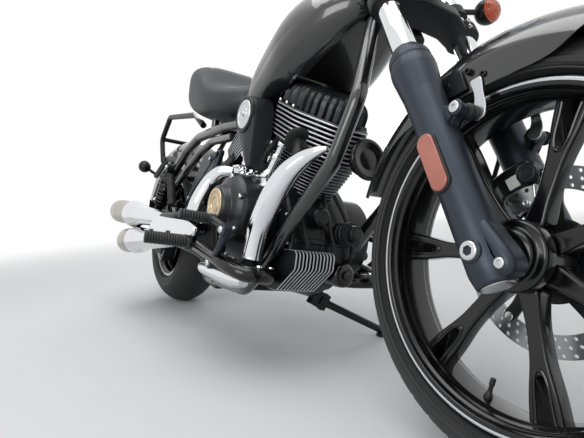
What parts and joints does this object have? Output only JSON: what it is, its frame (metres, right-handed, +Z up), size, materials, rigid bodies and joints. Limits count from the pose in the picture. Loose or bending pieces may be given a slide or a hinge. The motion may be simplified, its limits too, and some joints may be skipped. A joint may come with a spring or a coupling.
{
  "type": "cruiser motorcycle",
  "caption": "Cruiser motorcycle with an air-cooled V-twin, cast forked-spoke wheels, stacked mufflers and a solo saddle, leaning on its side stand.",
  "frame": {"origin": "on the ground under the middle of the parked bike's outline", "axes": "+X towards the front wheel, +Y to the rider's left, +Z up; the bike leans to +Y on its side stand"},
  "size_m": [2.3169, 1.0082, 1.2964],
  "materials": {
    "gloss_black": "gloss",
    "satin_black": "satin",
    "black_fins": "satin",
    "chrome": "polished",
    "steel": "machined",
    "tyre": "moulded",
    "rubber": "moulded",
    "seat_leather": "satin",
    "lamp_glass": "clear"
  },
  "bodies": {
    "frame": {"air_cleaner": "satin_black", "cam_cover": "satin_black", "crankcase": "satin_black", "cylinders": "black_fins", "drive_belt": "rubber", "exhaust_headers": "chrome", "fender_rails": "satin_black", "filler_cap": "chrome", "foot_levers": "satin_black", "foot_pegs": "rubber", "frame_crossmembers": "satin_black", "frame_tube_left": "gloss_black", "frame_tube_right": "gloss_black", "fuel_tank": "gloss_black", "heat_shields": "chrome", "muffler_bracket": "satin_black", "mufflers": "chrome", "oil_cooler": "satin_black", "primary_cover": "satin_black", "pushrod_tubes": "chrome", "rear_axle": "steel", "rear_caliper": "satin_black", "rear_fender": "gloss_black", "rear_frame": "satin_black", "rear_lamps": "satin_black", "rocker_covers": "satin_black", "seat": "seat_leather", "shocks": "satin_black", "side_covers": "satin_black", "stand_bracket": "satin_black", "steering_head": "satin_black", "swingarm": "satin_black"},
    "steering": {"fork_tubes": "chrome", "fork_sliders": "satin_black", "front_axle": "steel", "triple_clamps": "satin_black", "front_fender": "gloss_black", "headlamp": "gloss_black", "headlamp_lens": "lamp_glass", "handlebar": "satin_black", "grips": "rubber", "hand_controls": "satin_black", "instrument": "satin_black", "front_signals": "satin_black", "front_caliper": "satin_black", "brake_hose": "rubber"},
    "front_wheel_body": {"front_wheel": "gloss_black", "front_tyre": "tyre", "front_disc": "steel"},
    "rear_wheel_body": {"rear_wheel": "gloss_black", "rear_tyre": "tyre", "rear_disc": "steel"},
    "stand": {"side_stand": "satin_black"}
  },
  "joints": [
    {"name": "steering", "type": "hinge", "parent": "frame", "child": "steering", "pos_m": [0.80522, -0.13211, 0.29516], "axis": [-0.4848, 0.1769, 0.8565], "range_deg": [-30, 30]},
    {"name": "front_wheel_spin", "type": "hinge", "parent": "steering", "child": "front_wheel_body", "pos_m": [0.8395, -0.12826, 0.31377], "axis": [0, 0.9793, -0.2023], "continuous": true},
    {"name": "rear_wheel_spin", "type": "hinge", "parent": "frame", "child": "rear_wheel_body", "pos_m": [-0.7865, -0.12793, 0.31537], "axis": [0, 0.9793, -0.2023], "continuous": true},
    {"name": "side_stand_fold", "type": "hinge", "parent": "frame", "child": "stand", "pos_m": [0.1135, -0.01785, 0.10676], "axis": [0.0599, 0.5826, 0.8106], "range_deg": [0, 117]}
  ]
}
